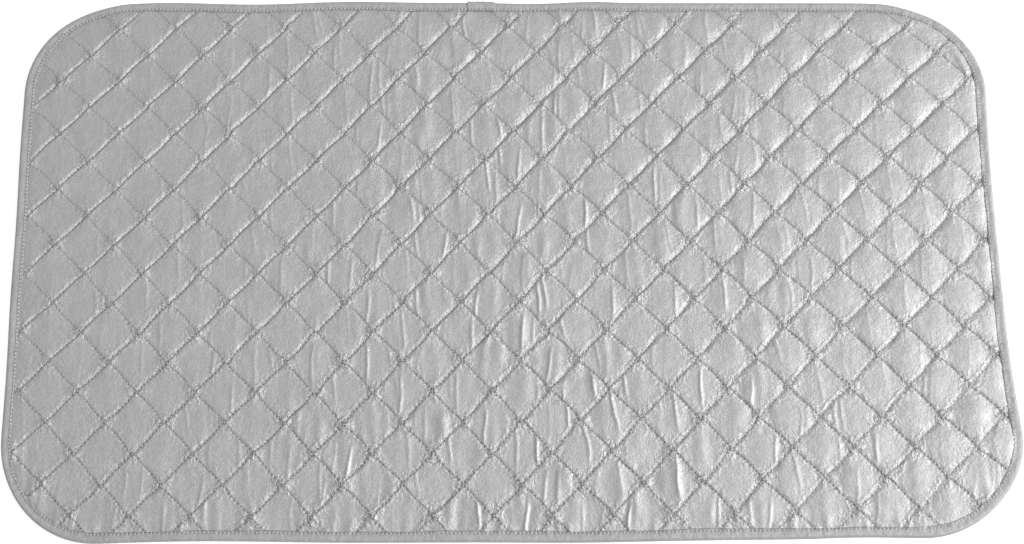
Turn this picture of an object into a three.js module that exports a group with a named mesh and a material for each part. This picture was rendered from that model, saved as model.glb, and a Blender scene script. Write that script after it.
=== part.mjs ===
// Quilted ironing mat: a silver-coated face cloth and a plain backing cloth with wadding between
// them, quilted in diamonds and bound round the edge with a folded tape.
// Millimetres, +Z up. X runs along the mat and Y across it. The origin is the middle of the
// plane that the mat lies on.
import * as THREE from "three";

// Outline of the finished mat
const MAT_LENGTH = 850;
const MAT_WIDTH = 480;
const CORNER_RADIUS = 87;

// Layers, each lying a small gap from the next
const BACKING_THICKNESS = 0.3;
const WADDING_AT_SEAMS = 1.2;
const FACE_THICKNESS = 0.3;
const PUFF_HEIGHT = 3.4;
const PRESSED_EDGE = 30;
const LAYER_GAP = 0.1;

// Quilting: two sets of straight seams that cross in diamonds
const SEAM_PITCH = 36;
const SEAM_ANGLE = 45;
const CROSSING_X = 7;
const CROSSING_Y = 14;
const SHORTEST_SEAM = 40;
const SEAM_RUN_INSET = 2;
const THREAD_DIAMETER = 0.25;

// Binding: a tape folded round the edge and sewn down through all the layers
const BINDING_WIDTH = 9;
const STITCH_FROM_LIP = 1.6;
const STITCH_SINK = 0.05;
const TAPE_UNDER_STITCH = 0.2;
const GROOVE_FLARE = 0.4;
const LAP_X = -29;
const LAP_LENGTH = 22;
const LAP_RISE = 0.4;
const LAP_RAMP = 1.5;

// Facets
const CORNER_STEPS = 8;
const ROLL_STEPS = 6;
const THREAD_SIDES = 5;
const LEAST_CROWNED_SHARE = 0.3;
const WHOLE_CELL_SHARE = 0.99;
const SAME_POINT = 1e-6;

// The groove that a stitch row sinks into, and the folded tape that holds it
const threadRadius = THREAD_DIAMETER / 2;
const grooveDepth = LAYER_GAP + THREAD_DIAMETER + STITCH_SINK;
const grooveFloor = THREAD_DIAMETER + 2 * LAYER_GAP;
const grooveMouth = grooveFloor + GROOVE_FLARE;
const tapeThickness = grooveDepth + TAPE_UNDER_STITCH;

// Heights of the stack at a seam, from the table up
const threadStep = THREAD_DIAMETER + LAYER_GAP;
const fallingBobbinZ = tapeThickness + LAYER_GAP + threadRadius;
const risingBobbinZ = fallingBobbinZ + threadStep;
const backingBottom = risingBobbinZ + threadRadius + LAYER_GAP;
const backingTop = backingBottom + BACKING_THICKNESS;
const waddingBottom = backingTop + LAYER_GAP;
const waddingTop = waddingBottom + WADDING_AT_SEAMS;
const faceBottom = waddingTop + LAYER_GAP;
const faceTop = faceBottom + FACE_THICKNESS;
const risingNeedleZ = faceTop + LAYER_GAP + threadRadius;
const fallingNeedleZ = risingNeedleZ + threadStep;
const upperLegBottom = fallingNeedleZ + threadRadius + LAYER_GAP;
const rimHeight = upperLegBottom + tapeThickness;

// Distances in from the outer edge
const rimRadius = rimHeight / 2;
const clothInset = rimRadius;
const seamRunInset = clothInset + SEAM_RUN_INSET;
const stitchInset = BINDING_WIDTH - STITCH_FROM_LIP;

// Stations round the outline, anticlockwise from the +X side. A point at an inset lies on the
// station's outward ray, so every ring of the mat has matching corners.
function outlineStations() {
  const halfX = MAT_LENGTH / 2 - CORNER_RADIUS;
  const halfY = MAT_WIDTH / 2 - CORNER_RADIUS;
  const centres = [
    new THREE.Vector2(halfX, halfY),
    new THREE.Vector2(-halfX, halfY),
    new THREE.Vector2(-halfX, -halfY),
    new THREE.Vector2(halfX, -halfY),
  ];
  return centres.flatMap((centre, corner) =>
    Array.from({ length: CORNER_STEPS + 1 }, (_, step) => {
      const angle = ((corner + step / CORNER_STEPS) * Math.PI) / 2;
      const outward = new THREE.Vector2(Math.cos(angle), Math.sin(angle));
      return { centre, outward, lift: 0 };
    }),
  );
}

function stationPoint(station, inset) {
  return station.centre.clone().addScaledVector(station.outward, CORNER_RADIUS - inset);
}

function outlineAt(inset) {
  return outlineStations().map((station) => stationPoint(station, inset));
}

// The binding's stations have four more on the back edge, where its ends lap.
function bindingStations() {
  const stations = outlineStations();
  const outward = new THREE.Vector2(0, 1);
  const centreY = MAT_WIDTH / 2 - CORNER_RADIUS;
  const lapStation = (x, lift) => ({ centre: new THREE.Vector2(x, centreY), outward, lift });
  const lapStart = LAP_X + LAP_LENGTH / 2;
  const lapEnd = LAP_X - LAP_LENGTH / 2;
  const lap = [
    lapStation(lapStart + LAP_RAMP, 0),
    lapStation(lapStart, LAP_RISE),
    lapStation(lapEnd, LAP_RISE),
    lapStation(lapEnd - LAP_RAMP, 0),
  ];
  stations.splice(CORNER_STEPS + 1, 0, ...lap);
  return stations;
}

// Triangles are gathered as points and turned into a geometry at the end.
function geometryOf(triangles) {
  return new THREE.BufferGeometry().setFromPoints(triangles.flat());
}

// Sections joined one to the next, as a ring or with both ends closed. Seen along the path,
// with +Z up, each section runs anticlockwise.
function loft(sections, isRing) {
  const triangles = [];
  const joins = isRing ? sections.length : sections.length - 1;
  for (let index = 0; index < joins; index += 1) {
    const here = sections[index];
    const there = sections[(index + 1) % sections.length];
    here.forEach((a, side) => {
      const next = (side + 1) % here.length;
      triangles.push([a, there[side], here[next]]);
      triangles.push([here[next], there[side], there[next]]);
    });
  }
  if (!isRing) {
    const first = sections[0];
    const last = sections[sections.length - 1];
    for (let side = 1; side < first.length - 1; side += 1) {
      triangles.push([first[0], first[side], first[side + 1]]);
      triangles.push([last[0], last[side + 1], last[side]]);
    }
  }
  return geometryOf(triangles);
}

// A profile of insets and heights swept round the outline. The profile may rise with the lap.
function sweepRound(profileAt) {
  const sections = bindingStations().map((station) =>
    profileAt(station.lift).map(({ inset, z }) => {
      const point = stationPoint(station, inset);
      return new THREE.Vector3(point.x, point.y, z);
    }),
  );
  return loft(sections, true);
}

function arcPoints(centreZ, radius, upperRadius, fromAngle, toAngle) {
  return Array.from({ length: ROLL_STEPS + 1 }, (_, step) => {
    const angle = fromAngle + ((toAngle - fromAngle) * step) / ROLL_STEPS;
    const rise = Math.sin(angle) > 0 ? upperRadius : radius;
    return { inset: rimRadius - radius * Math.cos(angle), z: centreZ + rise * Math.sin(angle) };
  });
}

// The folded tape: a flat lower leg, a rounded outer edge and an upper leg. The stitch row sinks
// into a shallow groove in each leg.
function bindingProfile(lift) {
  const quarter = Math.PI / 2;
  const top = rimHeight + lift;
  const groove = (z, floorZ) => [
    { inset: stitchInset + grooveMouth / 2, z },
    { inset: stitchInset + grooveFloor / 2, z: floorZ },
    { inset: stitchInset - grooveFloor / 2, z: floorZ },
    { inset: stitchInset - grooveMouth / 2, z },
  ];
  const innerRadius = rimRadius - tapeThickness;
  return [
    { inset: BINDING_WIDTH, z: 0 },
    ...groove(0, grooveDepth),
    ...arcPoints(rimRadius, rimRadius, rimRadius + lift, -quarter, quarter),
    ...groove(top, top - grooveDepth).reverse(),
    { inset: BINDING_WIDTH, z: top },
    { inset: BINDING_WIDTH, z: upperLegBottom },
    ...arcPoints(rimRadius, innerRadius, innerRadius, quarter, -quarter),
    { inset: BINDING_WIDTH, z: tapeThickness },
  ];
}

// A thread's round section, as offsets to the right of its path and up.
function threadSection() {
  return Array.from({ length: THREAD_SIDES }, (_, side) => {
    const angle = (2 * Math.PI * side) / THREAD_SIDES;
    return { right: threadRadius * Math.cos(angle), up: threadRadius * Math.sin(angle) };
  });
}

function bindingThread(heightAt) {
  return sweepRound((lift) =>
    threadSection().map(({ right, up }) => ({ inset: stitchInset - right, z: heightAt(lift) + up })),
  );
}

// A thread along a level path, mitred where the path turns.
function strand(path, z) {
  const rightOf = (from, to) => {
    const along = to.clone().sub(from).normalize();
    return new THREE.Vector2(along.y, -along.x);
  };
  const sections = path.map((point, index) => {
    const arriving = rightOf(path[Math.max(index - 1, 0)], path[Math.max(index, 1)]);
    const lastStart = path.length - 2;
    const leaving = rightOf(path[Math.min(index, lastStart)], path[Math.min(index, lastStart) + 1]);
    const mitre = arriving.clone().add(leaving).normalize();
    const stretch = 1 / mitre.dot(leaving);
    return threadSection().map(({ right, up }) => {
      const offset = mitre.clone().multiplyScalar(right * stretch);
      return new THREE.Vector3(point.x + offset.x, point.y + offset.y, z + up);
    });
  });
  return loft(sections, false);
}

// Seam directions, and the distance between crossings along a seam.
const seamAngle = THREE.MathUtils.degToRad(SEAM_ANGLE);
const rising = new THREE.Vector2(Math.cos(seamAngle), Math.sin(seamAngle));
const falling = new THREE.Vector2(-Math.cos(seamAngle), Math.sin(seamAngle));
const crossingStep = SEAM_PITCH / Math.sin(2 * seamAngle);
const seamReach = Math.ceil((MAT_LENGTH + MAT_WIDTH) / crossingStep);

function crossing(alongRising, alongFalling) {
  return new THREE.Vector2(CROSSING_X, CROSSING_Y)
    .addScaledVector(rising, alongRising * crossingStep)
    .addScaledVector(falling, alongFalling * crossingStep);
}

// How far a point lies to the left of the line from one point to another.
function leftOf(point, from, to) {
  const along = to.clone().sub(from).normalize();
  return along.cross(point.clone().sub(from));
}

// A convex polygon cut to the inside of a convex outline.
function clipToOutline(polygon, outline) {
  return outline.reduce((kept, from, edge) => {
    const to = outline[(edge + 1) % outline.length];
    return kept.flatMap((point, index) => {
      const next = kept[(index + 1) % kept.length];
      const here = leftOf(point, from, to);
      const there = leftOf(next, from, to);
      const crosses = here * there < 0;
      const cut = crosses ? [point.clone().lerp(next, here / (here - there))] : [];
      return here >= 0 ? [point, ...cut] : cut;
    });
  }, polygon);
}

// The cells between the seams, cut to the outline at an inset. Each has its corners, its middle
// and the height of its crown. Smaller offcuts than the least share of a whole cell are left out.
function quiltCells(inset, leastShare) {
  const outline = outlineAt(inset);
  const wholeArea = SEAM_PITCH * crossingStep;
  const cells = [];
  for (let i = -seamReach; i < seamReach; i += 1) {
    for (let j = -seamReach; j < seamReach; j += 1) {
      const whole = [crossing(i, j), crossing(i + 1, j), crossing(i + 1, j + 1), crossing(i, j + 1)];
      const corners = clipToOutline(whole, outline);
      const area = corners.length > 2 ? THREE.ShapeUtils.area(corners) : 0;
      if (area >= leastShare * wholeArea) {
        cells.push(crownedCell(corners));
      }
    }
  }
  return cells;
}

// A cell that the outline cuts rises as far as its narrower width lets it.
function crownedCell(corners) {
  const middle = corners
    .reduce((sum, corner) => sum.add(corner), new THREE.Vector2())
    .divideScalar(corners.length);
  const reach = Math.min(
    ...corners.map((corner, index) => leftOf(middle, corner, corners[(index + 1) % corners.length])),
  );
  return { corners, middle, rise: (PUFF_HEIGHT * reach) / (SEAM_PITCH / 2) };
}

// The edge round a group of cells: the sides that no two cells share, in order.
function groupOutline(cells) {
  const keyOf = (point) => `${point.x.toFixed(3)} ${point.y.toFixed(3)}`;
  const sides = new Map();
  for (const { corners } of cells) {
    corners.forEach((from, index) => {
      const to = corners[(index + 1) % corners.length];
      const shared = `${keyOf(to)} ${keyOf(from)}`;
      if (!sides.delete(shared)) {
        sides.set(`${keyOf(from)} ${keyOf(to)}`, { from, to });
      }
    });
  }
  const onward = new Map([...sides.values()].map((side) => [keyOf(side.from), side]));
  const loop = [];
  let side = onward.values().next().value;
  while (onward.delete(keyOf(side.from))) {
    loop.push(side.from);
    side = onward.get(keyOf(side.to)) ?? side;
  }
  return loop;
}

// The quilted surface as triangles, with each point's height over the seams as its z.
function quiltSurface(cells) {
  const level = (point) => new THREE.Vector3(point.x, point.y, 0);
  const crowns = cells.flatMap(({ corners, middle, rise }) =>
    corners.map((corner, index) => [
      level(corner),
      level(corners[(index + 1) % corners.length]),
      new THREE.Vector3(middle.x, middle.y, rise),
    ]),
  );
  const edge = outlineAt(clothInset);
  const hole = groupOutline(cells).reverse();
  const points = [...edge, ...hole];
  const border = THREE.ShapeUtils.triangulateShape(edge, [hole]).map((corners) =>
    corners.map((corner) => level(points[corner])),
  );
  return [...crowns, ...border];
}

function flatSurface() {
  const edge = outlineAt(clothInset);
  return THREE.ShapeUtils.triangulateShape(edge, []).map((corners) =>
    corners.map((corner) => new THREE.Vector3(edge[corner].x, edge[corner].y, 0)),
  );
}

// A layer between two surfaces with the same edge.
function layer(upperSurface, upperZ, lowerSurface, lowerZ) {
  const raised = (point, z) => new THREE.Vector3(point.x, point.y, (point.z ?? 0) + z);
  const edge = outlineAt(clothInset);
  const wall = edge.flatMap((point, index) => {
    const next = edge[(index + 1) % edge.length];
    const below = raised(point, lowerZ);
    const above = raised(next, upperZ);
    return [
      [below, raised(next, lowerZ), above],
      [below, above, raised(point, upperZ)],
    ];
  });
  return geometryOf([
    ...upperSurface.map((corners) => corners.map((point) => raised(point, upperZ))),
    ...lowerSurface.map((corners) => corners.map((point) => raised(point, lowerZ)).reverse()),
    ...wall,
  ]);
}

// Where a seam meets a convex outline: the two points and the outline edges that they lie on.
function seamEnds(through, along, outline) {
  const beyond = through.clone().add(along);
  const ends = [];
  outline.forEach((from, edge) => {
    const to = outline[(edge + 1) % outline.length];
    const here = leftOf(from, through, beyond);
    const there = leftOf(to, through, beyond);
    if (here >= 0 !== there >= 0) {
      ends.push({ point: from.clone().lerp(to, here / (here - there)), edge });
    }
  });
  return ends.sort((a, b) => a.point.dot(along) - b.point.dot(along));
}

// The outline's corners between two of its edges, by the shorter way round.
function cornersBetween(fromEdge, toEdge, outline) {
  const count = outline.length;
  const forward = (toEdge - fromEdge + count) % count;
  const goesForward = forward <= count / 2;
  const steps = goesForward ? forward : count - forward;
  return Array.from({ length: steps }, (_, step) => {
    const corner = goesForward ? fromEdge + 1 + step : fromEdge - step;
    return outline[(corner + count) % count];
  });
}

// All the seams of one direction as one thread: up a seam, along the edge under the binding, and
// back down the next.
function seamPath(along, stepToNext) {
  const outline = outlineAt(seamRunInset);
  const path = [];
  let lastEdge = null;
  let goesUp = true;
  for (let index = -seamReach; index <= seamReach; index += 1) {
    const through = stepToNext(index);
    const ends = seamEnds(through, along, outline);
    const isLong = ends.length === 2 && ends[0].point.distanceTo(ends[1].point) >= SHORTEST_SEAM;
    if (isLong) {
      const [start, finish] = goesUp ? ends : [ends[1], ends[0]];
      if (lastEdge !== null) {
        path.push(...cornersBetween(lastEdge, start.edge, outline));
      }
      path.push(start.point, finish.point);
      lastEdge = finish.edge;
      goesUp = !goesUp;
    }
  }
  return path.filter((point, index) => index === 0 || point.distanceTo(path[index - 1]) > SAME_POINT);
}

const risingPath = seamPath(rising, (index) => crossing(0, index));
const fallingPath = seamPath(falling, (index) => crossing(index, 0));

// Materials
const silverCloth = () =>
  new THREE.MeshStandardMaterial({ color: 0xb9b9ba, roughness: 0.45, metalness: 0.35 });
const plainCloth = () => new THREE.MeshStandardMaterial({ color: 0xa8a8a9, roughness: 0.9 });
const bindingCloth = () => new THREE.MeshStandardMaterial({ color: 0xa2a2a3, roughness: 0.75 });
const fibre = () => new THREE.MeshStandardMaterial({ color: 0xeeeeea, roughness: 1 });
const greyThread = () => new THREE.MeshStandardMaterial({ color: 0x8c8c8e, roughness: 0.7 });

// The pieces. The face is quilted up to the binding seam, and the wadding is pressed flat near it.
function faceSurface() {
  return quiltSurface(quiltCells(stitchInset, LEAST_CROWNED_SHARE));
}

function waddingSurface() {
  return quiltSurface(quiltCells(stitchInset + PRESSED_EDGE, WHOLE_CELL_SHARE));
}

function faceCloth() {
  return layer(faceSurface(), faceTop, waddingSurface(), faceBottom);
}

function wadding() {
  return layer(waddingSurface(), waddingTop, flatSurface(), waddingBottom);
}

function backingCloth() {
  const shape = new THREE.Shape(outlineAt(clothInset));
  const sheet = new THREE.ExtrudeGeometry(shape, { depth: BACKING_THICKNESS, bevelEnabled: false });
  return sheet.translate(0, 0, backingBottom);
}

function upperStitchZ(lift) {
  return rimHeight + lift - grooveDepth + LAYER_GAP + threadRadius;
}

function lowerStitchZ() {
  return grooveDepth - LAYER_GAP - threadRadius;
}

const mat = new THREE.Group();

function addPiece(name, geometry, material) {
  const piece = new THREE.Mesh(geometry, material);
  piece.name = name;
  piece.geometry.computeVertexNormals();
  mat.add(piece);
}

addPiece("face_cloth", faceCloth(), silverCloth());
addPiece("wadding", wadding(), fibre());
addPiece("backing_cloth", backingCloth(), plainCloth());
addPiece("edge_binding", sweepRound(bindingProfile), bindingCloth());
addPiece("needle_thread_rising", strand(risingPath, risingNeedleZ), greyThread());
addPiece("needle_thread_falling", strand(fallingPath, fallingNeedleZ), greyThread());
addPiece("bobbin_thread_rising", strand(risingPath, risingBobbinZ), greyThread());
addPiece("bobbin_thread_falling", strand(fallingPath, fallingBobbinZ), greyThread());
addPiece("binding_needle_thread", bindingThread(upperStitchZ), greyThread());
addPiece("binding_bobbin_thread", bindingThread(lowerStitchZ), greyThread());

export default mat;
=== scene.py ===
# A quilted ironing mat: silver face, wadding, backing, bound edge and the sewing that joins them.
import math

import bpy
import numpy as np
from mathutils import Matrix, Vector
from mathutils.bvhtree import BVHTree


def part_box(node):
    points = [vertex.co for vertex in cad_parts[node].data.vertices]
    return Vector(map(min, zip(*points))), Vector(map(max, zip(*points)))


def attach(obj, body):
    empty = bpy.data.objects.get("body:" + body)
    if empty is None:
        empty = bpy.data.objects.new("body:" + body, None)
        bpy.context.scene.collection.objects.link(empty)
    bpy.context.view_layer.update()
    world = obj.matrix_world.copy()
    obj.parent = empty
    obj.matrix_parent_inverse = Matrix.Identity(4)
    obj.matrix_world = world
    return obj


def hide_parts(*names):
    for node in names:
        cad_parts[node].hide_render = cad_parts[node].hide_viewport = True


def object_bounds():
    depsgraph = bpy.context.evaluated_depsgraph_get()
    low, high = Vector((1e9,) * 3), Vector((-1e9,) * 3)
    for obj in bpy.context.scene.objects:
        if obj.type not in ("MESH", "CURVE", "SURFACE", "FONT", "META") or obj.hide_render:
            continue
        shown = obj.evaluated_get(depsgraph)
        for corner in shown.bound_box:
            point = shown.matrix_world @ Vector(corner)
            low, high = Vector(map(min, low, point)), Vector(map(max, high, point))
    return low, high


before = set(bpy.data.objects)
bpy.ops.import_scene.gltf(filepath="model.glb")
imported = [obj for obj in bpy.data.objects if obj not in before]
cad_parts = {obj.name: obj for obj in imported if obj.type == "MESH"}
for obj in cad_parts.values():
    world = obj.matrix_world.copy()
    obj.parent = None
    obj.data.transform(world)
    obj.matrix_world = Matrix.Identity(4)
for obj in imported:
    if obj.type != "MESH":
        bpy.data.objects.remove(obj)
cad_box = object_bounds()

MM = 0.001
SEED = 20
BAKE_MAP = "OFBake"
draws = np.random.default_rng(SEED)

# Camera, fitted to the mat's outline in the photograph, with its turn in degrees
CAMERA_LENS = 49.78
CAMERA_SENSOR = 36
CAMERA_PLACE = (-0.0292, -0.3268, 1.1785)
CAMERA_TURN = (15.01, -1.30, -0.56)

# Stage and light, in metres, watts and degrees
FLOOR_REACH = 40
FLOOR_Z = -0.2 * MM
FLOOR_GREY = 0.85
FLOOR_GLOW = 0.6
WORLD_LIGHT = 0.50
KEY_PLACE = (5.0, -0.2, 2.9)
KEY_TARGET = (-0.8, 0, 0)
KEY_SIZE = 1.4
KEY_POWER = 17
KEY_SPREAD = 40

# Outline, from the frame and the corners' radius
HALF_LENGTH = cad_box[1].x
HALF_WIDTH = cad_box[1].y
CORNER_RADIUS = 87 * MM
STRAIGHT = {"x": HALF_LENGTH - CORNER_RADIUS, "y": HALF_WIDTH - CORNER_RADIUS}
ARC_STEPS = 48
PROBE = 0.01 * MM

# How the edges lie, in millimetres: waves by place, half-width, height, and ripples by height, length, start
SIDE_SHIFT = -0.8
BACK_SHIFT = 0.7
FRONT_SHIFT = -0.4
LEFT_LEAN = -4.2
LEFT_RIPPLES = [(0.3, 21, 0)]
BACK_WAVES = [(-375, 40, -3.5), (-230, 50, -1.9), (-140, 45, 1.0),
              (20, 35, -0.9), (74, 25, 1.2), (372, 30, -3.5)]
FRONT_WAVES = [(-260, 90, 2.5), (55, 70, -1.1), (288, 40, 1.2)]
RIGHT_WAVES = [(190, 80, 4.2), (-175, 60, 5.4)]
SIDE_REACH = 30 * MM

# Heights of the layers, from the frame
CLOTH_THICKNESS = 0.3 * MM
FACE_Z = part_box("face_cloth")[0].z + CLOTH_THICKNESS
BACKING_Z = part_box("backing_cloth")[0].z
BACKING_LEAST_Z = 0.3 * MM
WADDING_LOW_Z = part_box("wadding")[0].z
BINDING_PRESSED = 0.4 * MM
BINDING_HIGH_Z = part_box("edge_binding")[1].z - BINDING_PRESSED

# Quilting: two sets of seams that cross at right angles, each a little off its straight line
SEAM_PITCH = 36 * MM
RISING_OFFSET = 5.2 * MM
FALLING_OFFSET = 14.0 * MM
SEAM_WAVER = 0.5 * MM
WAVER_LENGTHS = ((9.1 * MM, 13.7 * MM), (11.3 * MM, 8.7 * MM))
RISING_WAVER_START = 10
FALLING_WAVER_START = -4.5
CROSSING_BEND = 0.9 * MM
BEND_REACH = 0.09
LATTICE_REACH = 20
LATTICE_SEAMS = 2 * LATTICE_REACH + 1
LATTICE_ROUNDS = 12
RISING_BENDS, FALLING_BENDS = draws.normal(0, CROSSING_BEND, (2, LATTICE_SEAMS, LATTICE_SEAMS))

# Both cloths end under the tape and are held by its row of stitches
TAPE_WIDTH = 9 * MM
STITCH_INSET = 7.4 * MM
CLOTH_RIM = 3.5 * MM
HELD_GAP = 0.001 * MM

# The padded face, which rises from the binding's seam
FACE_STEPS = 18
SEAM_CROWDING = 0.7
FACE_PUFF = 2.6 * MM
LIP = 0.9 * MM
LIP_MORE = 5.0 * MM
LIP_BREAK = 5
SHOULDER = 0.9 * MM
EDGE_SHOULDER = 3.0 * MM
EDGE_PRESS = 0.45
EDGE_PRESS_REACH = 10 * MM
EDGE_LIFT = 0.2 * MM
EDGE_LIFT_REACH = 3 * MM
LEAST_PULL = 0.08
FACE_SLACK = (1.022, 1.002)
FACE_PRESSURE = 0.06

# Creases in the face's cells: places, leans and runs are shares of a cell, and pairs are ranges
CREASES_IN_CELL = 4
CREASE_SPAN = 1.3
CREASE_PLACES = (0.1, 0.9)
CREASE_LEANS = (-0.10, 0.10)
CREASE_MIDDLES = (-0.35, 0.35)
CREASE_RUNS = (0.35, 0.9)
CREASE_WIDTHS = (1.3 * MM, 3.0 * MM)
CREASE_LIFTS = (-0.4, 1.0)
CREASE_DEEPEST = -0.3
CREASE_SIZES = (0.2, 1.2)
CREASE_HEIGHT = 1.9 * MM
CREASE_PINCH = 2.0 * MM

# Folds at the face's edge: each gathered side has its axes, direction out, and its folds' reach and size
GATHERED_SIDES = [("x", "y", -1, 16 * MM, 1.6), ("x", "y", 1, 10 * MM, 0.8), ("y", "x", 1, 13 * MM, 1.0)]
GATHER_SPACING = 7 * MM
GATHER_SHIFTS = (-0.4, 0.4)
GATHER_LEANS = (-0.15, 0.15)
GATHER_SIZES = (-0.3, 1)
GATHER_LENGTHS = (0.5, 1.2)
GATHER_WIDTHS = (1.0 * MM, 1.8 * MM)
GATHER_HEIGHT = 1.3 * MM
GATHER_PINCH = 1.5 * MM
FOLD_HEIGHT = 1.4 * MM
FOLD_ANGLE = 26
FOLD_SPREAD = 15
FOLD_CLIMB = 6 * MM
FOLD_END = 15.5 * MM
FOLD_BREAK = 0.4 * MM

# The backing
BACKING_STEPS = 9
BACKING_PUFF = 0.75 * MM
BACKING_SLACK = (1.010, 1.002)
BACKING_PRESSURE = -0.1

# The wadding
WADDING_STEPS = 6
WADDING_RIM = 4.5 * MM
WADDING_CLEARANCE = 0.4 * MM
WADDING_SHARE = 0.45

# Cloth simulation, on a model enlarged so that its springs work in their usual range
SIM_SCALE = 20
SIM_FRAMES = 14
SIM_SETTINGS = {"quality": 4, "mass": 0.3, "air_damping": 2, "tension_stiffness": 20,
                "compression_stiffness": 20, "shear_stiffness": 6, "bending_stiffness": 0.6}
MOST_MOVED = 4 * MM

# The binding tape and its lapped ends
TAPE_THICKNESS = 0.4 * MM
TAPE_STEP = 0.88 * MM
TAPE_CLEARANCE = 0.05 * MM
ROLL_STEPS = 6
LEG_INSET = 5 * MM
LEAN_INSET = 2.4 * MM
LIP_DROP = 0.55 * MM
LIP_THINNING = 0.1
LIP_GATHER = 0.22 * MM
LIP_GATHER_LENGTH = 1.3
LIP_GATHER_DRIFTS = [(2, 6, 0)]
LIP_RISES = [(0.12 * MM, 9, 0), (0.12 * MM, 4.1, 1)]
LIP_SWAYS = [(0.4 * MM, 31, 0), (0.25 * MM, 11, 0.7)]
TAPE_CROWN = 0.10 * MM
ROW_DEPTH = 0.05 * MM
PIT_DEPTH = 0.35 * MM
PIT_REACH = 1.1 * MM
CORNER_RUN_IN = 10 * MM
# Painted shade along the tape's outer fold, and the reach over which the painted shade at its lip fades out
# towards the right
ROLL_SHADE = 0.3
ROLL_SHADE_REACH = 1.5 * MM
LIP_SHADE_FADE = 25 * MM
LAP_FIRST_X = -14.5 * MM
LAP_LENGTH = 23 * MM
LAP_BULGE = 0.9 * MM
LAP_RAMP = 4 * MM
LAP_STEP = 0.42 * MM

# Stitches, which rise out of the cloth by a share of the thread
SEAM_STITCH = 3.6 * MM
ABOUT_TAPE_STITCH = 3.3 * MM
STITCH_FILL = 0.74
SEAM_THREAD = 0.45 * MM
SEAM_THREAD_RISE = 0.5
SEAM_UNDER_TAPE = 1 * MM
TAPE_THREAD = 0.85 * MM
TAPE_THREAD_RISE = 0.3
LOOSE_END_X = -23.3 * MM
LOOSE_END_OUT = 2 * MM
LOOSE_END = 6 * MM
STITCH_SIDES = 5
STITCH_RINGS = 5
STITCH_TAPER = 0.75
STITCH_DIP = 1.3
STITCH_LENGTH_SPREAD = 0.07
STITCH_TURN_SPREAD = 0.06
PHASE_PROBE = 0.01

# The face's finish: sizes and depths of its grain, crinkles and weave, and what shows beside its seams:
# painted shade, grooves, puckers and welts
FACE_PATCHES = 28 * MM
GRAIN_SIZE = 1.3 * MM
GRAIN_DEPTH = 0.35 * MM
CRINKLE_SIZE = 8 * MM
CRINKLE_DEPTH = 0.8 * MM
FACE_WEAVE = 0.7 * MM
FACE_WEAVE_DEPTH = 0.02 * MM
# Painted shade along the seam lines: its reach and how much the stitches break it into dashes
SEAM_SHADE_REACH = 0.6 * MM
SEAM_SHADE_DASHES = 0.55
GROOVE_REACH = 1.0 * MM
GROOVE_DEPTH = 0.7 * MM
CLEAR_REACH = 1.2 * MM
PUCKER_SPACING = 3.0 * MM
PUCKER_REACH = 3.0 * MM
PUCKER_DEPTH = 3.0 * MM
PUCKER_PATCHES = 14 * MM
WELT_GAP = 3.4 * MM
WELT_SWAY = 0.5 * MM
WELT_WIDTH = 0.8 * MM
WELT_DEPTH = 0.25 * MM

# Fine creases in the face's finish, with places and leans as shares of a cell
FINE_CREASE_LAYERS = 2
FINE_CREASE_WIDTH = 1.7 * MM
FINE_CREASE_DEPTH = 1.6 * MM
FINE_CREASE_RUN = 0.65
FINE_CREASE_SPAN = 1.2
FINE_CREASE_LEAN = 0.3
FINE_CREASE_SHIFT = 0.9
FINE_CREASE_SWAY = 0.03
FINE_CREASE_LEAST = 0.25

# Greys of the finishes, each from its darkest to its palest spots
FACE_GREY = (0.61, 0.65)
BACKING_GREY = (0.39, 0.44)
WADDING_GREY = (0.78, 0.90)
TAPE_GREY = (0.52, 0.58)
QUILTING_THREAD_GREY = (0.53, 0.63)
BINDING_THREAD_GREY = (0.57, 0.67)


def make_camera():
    """The photograph's camera."""
    data = bpy.data.cameras.new("camera")
    data.lens = CAMERA_LENS
    data.sensor_width = CAMERA_SENSOR
    camera = bpy.data.objects.new("camera", data)
    camera.location = CAMERA_PLACE
    camera.rotation_euler = [math.radians(angle) for angle in CAMERA_TURN]
    bpy.context.scene.collection.objects.link(camera)
    bpy.context.scene.camera = camera


# Outline and lattice
def inset(x, y):
    """Distance in from the mat's edge."""
    past_x = np.abs(x) - STRAIGHT["x"]
    past_y = np.abs(y) - STRAIGHT["y"]
    round_part = np.hypot(np.maximum(past_x, 0), np.maximum(past_y, 0))
    return CORNER_RADIUS - round_part - np.minimum(np.maximum(past_x, past_y), 0)


def shares(x, y):
    """Places as shares of the mat's half length and half width."""
    return x / HALF_LENGTH, y / HALF_WIDTH


def ripples(place, waves):
    """Sine waves along a place, each with its height, length for one radian in millimetres and start."""
    return sum(high * np.sin(place / (length * MM) + start) for high, length, start in waves)


def rising_wander(u, v):
    """How far a rising seam is off its straight line, in millimetres, at shares of the half sizes."""
    return 1 + 10 * u + 6 * v - 4.5 * u ** 2 - 5.5 * u ** 3 - 4 * u ** 2 * v - u * v ** 2 - v ** 3


def falling_wander(u, v):
    """How far a falling seam is off its straight line, in the same way."""
    bowed = 5.5 * u ** 2 + 1.5 * u * v - 4 * v ** 2
    curled = u ** 3 - u ** 2 * v + 0.5 * u * v ** 2 - 1.5 * v ** 3
    return -4.5 * u - v + bowed + curled


def waver(x, y, start):
    """The small unevenness of a sewn line."""
    (first_x, first_y), (second_x, second_y) = WAVER_LENGTHS
    return SEAM_WAVER * (np.sin(x / first_x + y / first_y) + np.sin(y / second_y - x / second_x + start))


def crossing_bend(across, along, sizes):
    """A small S in each seam where it crosses the other set, drawn by the stitches there."""
    row = np.round(across).astype(int)
    column = np.round(along).astype(int)
    off = (along - column) / BEND_REACH
    aside = (across - row) / (2 * BEND_REACH)
    return sizes[row + LATTICE_REACH, column + LATTICE_REACH] * off * np.exp(-0.5 * (off ** 2 + aside ** 2))


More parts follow.
